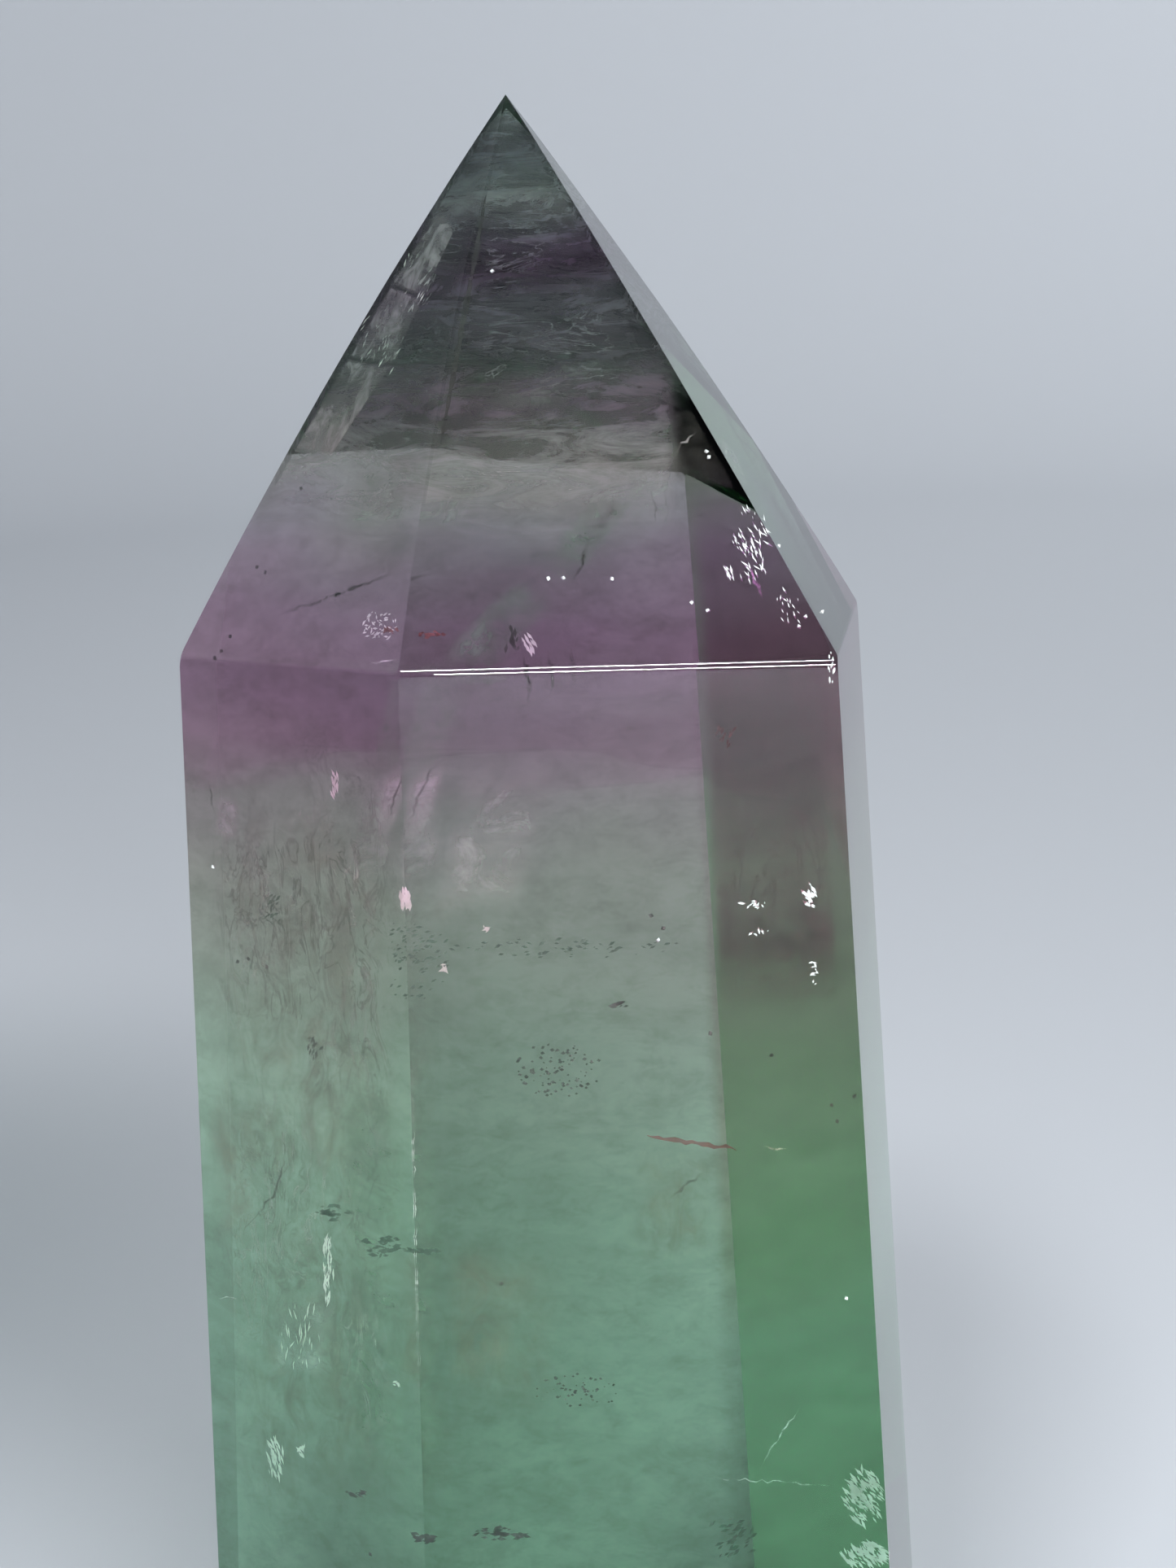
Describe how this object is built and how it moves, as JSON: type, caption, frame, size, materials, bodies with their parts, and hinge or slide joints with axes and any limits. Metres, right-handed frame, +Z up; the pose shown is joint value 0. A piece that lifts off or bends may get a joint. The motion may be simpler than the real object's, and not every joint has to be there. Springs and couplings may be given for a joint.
{
  "type": "fluorite tower",
  "caption": "Polished fluorite crystal tower with a flat-sided, slightly flared body, a faceted point and a flat foot to stand on.",
  "frame": {"origin": "middle of the bounding box at the foot", "axes": "+Z up along the tower to its tip, -Y out of the broad front face, +X to the right of that face"},
  "size_m": [0.0708, 0.0646, 0.1899],
  "materials": {
    "fluorite": "polished and see-through, zoned from green at the foot through grey to purple at the shoulder and smoky grey-green at the tip"
  },
  "bodies": {
    "root": {"fluorite_tower": "fluorite"}
  },
  "joints": []
}
